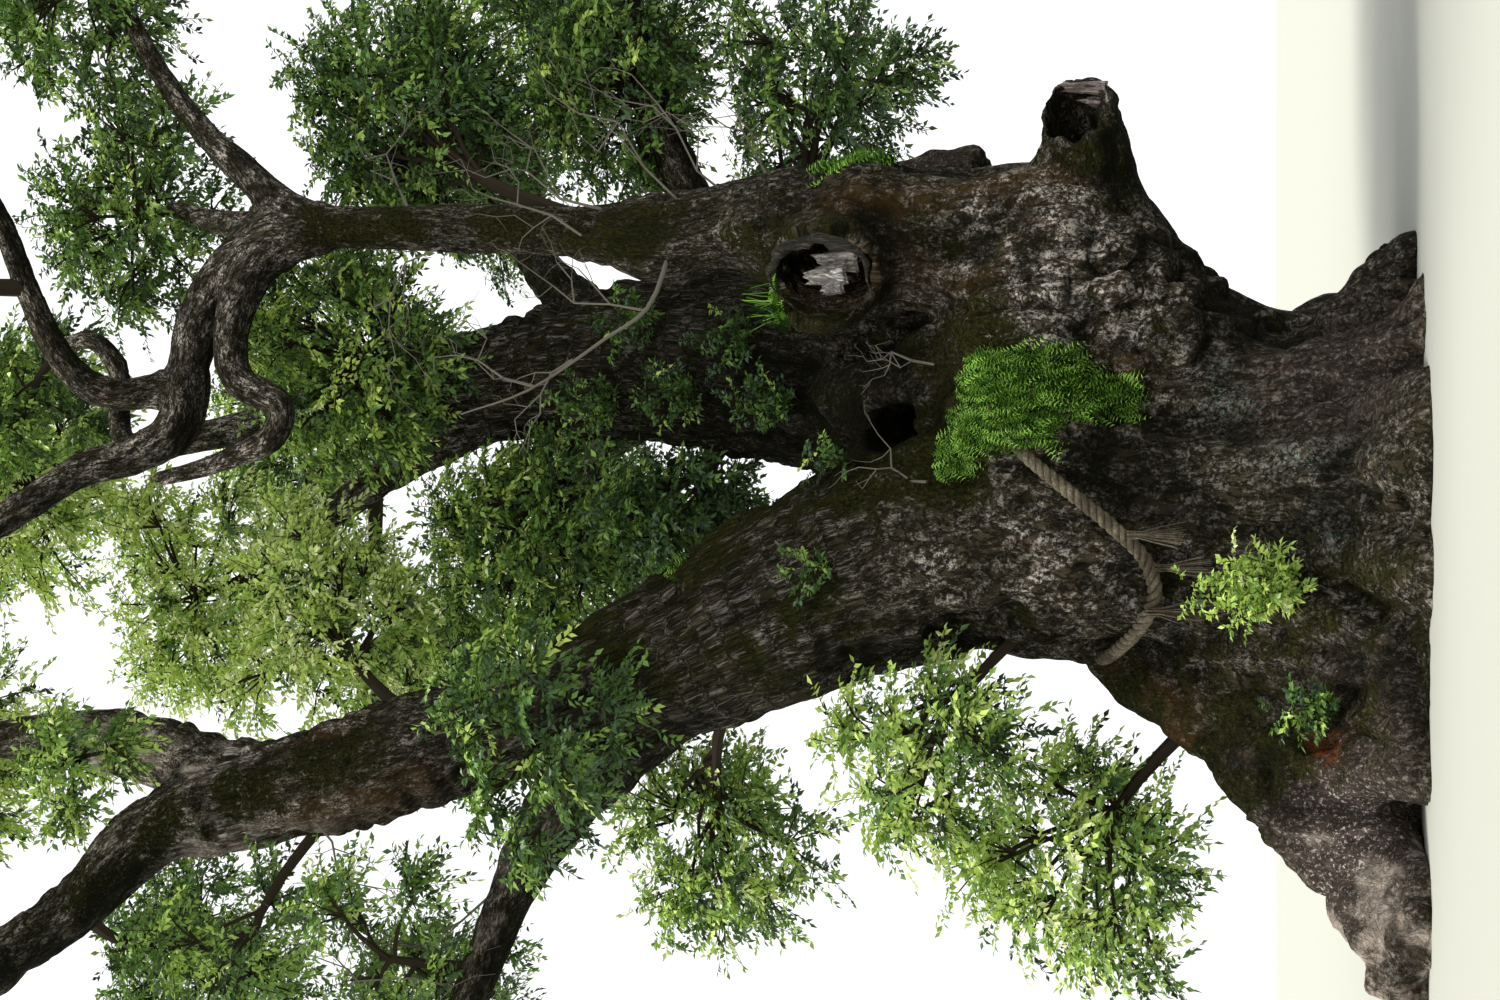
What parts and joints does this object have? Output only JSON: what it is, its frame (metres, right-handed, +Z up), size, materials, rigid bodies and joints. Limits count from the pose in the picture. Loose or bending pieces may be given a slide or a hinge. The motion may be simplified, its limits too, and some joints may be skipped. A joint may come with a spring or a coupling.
{
  "type": "camphor tree",
  "caption": "Very old spreading camphor tree: a huge buttressed trunk forks into leaning leaders that carry rounded masses of small leaves.",
  "frame": {"origin": "on the ground, on the flat cut under the trunk, below the middle of the trunk as the picture shows it", "axes": "+Z up, +X to the right of the tree as pictured, +Y away from the picture's view"},
  "size_m": [27.1049, 23.0264, 26.9926],
  "materials": {
    "bark": "rough furrowed bark with moss",
    "foliage": "small glossy evergreen leaves",
    "fern": "soft green fronds",
    "straw": "weathered twisted straw"
  },
  "bodies": {
    "root": {"back_high_bough": "bark", "back_leader": "bark", "back_left_bough": "bark", "back_mid_bough": "bark", "back_right_bough": "bark", "broken_stub": "bark", "centre_fork": "bark", "crown_bough": "bark", "fern_patch": "fern", "foliage_back_high": "foliage", "foliage_back_left": "foliage", "foliage_back_low": "foliage", "foliage_back_right": "foliage", "foliage_back_tip": "foliage", "foliage_between": "foliage", "foliage_centre_high": "foliage", "foliage_centre_low": "foliage", "foliage_centre_mid": "foliage", "foliage_centre_right": "foliage", "foliage_centre_top": "foliage", "foliage_crown": "foliage", "foliage_curl": "foliage", "foliage_fork_front": "foliage", "foliage_front_left": "foliage", "foliage_front_right": "foliage", "foliage_leader_front": "foliage", "foliage_left_arm_rise": "foliage", "foliage_left_arm_tip": "foliage", "foliage_left_back": "foliage", "foliage_left_high": "foliage", "foliage_left_rod": "foliage", "foliage_left_top": "foliage", "foliage_low_left_inner": "foliage", "foliage_low_left_outer": "foliage", "foliage_mid_left": "foliage", "foliage_right_back": "foliage", "foliage_right_high": "foliage", "foliage_right_low": "foliage", "foliage_right_mid": "foliage", "foliage_right_tip": "foliage", "foliage_right_top": "foliage", "foliage_rise_tip": "foliage", "foliage_s_tip": "foliage", "foliage_stem_right": "foliage", "front_left_bough": "bark", "left_arm": "bark", "left_back_bough": "bark", "left_fork": "bark", "left_leader": "bark", "right_back_bough": "bark", "right_high_bough": "bark", "right_leader": "bark", "right_top_bough": "bark", "s_curl": "bark", "s_low": "bark", "s_rise": "bark", "s_up": "bark", "shoots_front": "foliage", "straw_rope": "straw", "trunk": "bark"}
  },
  "joints": []
}
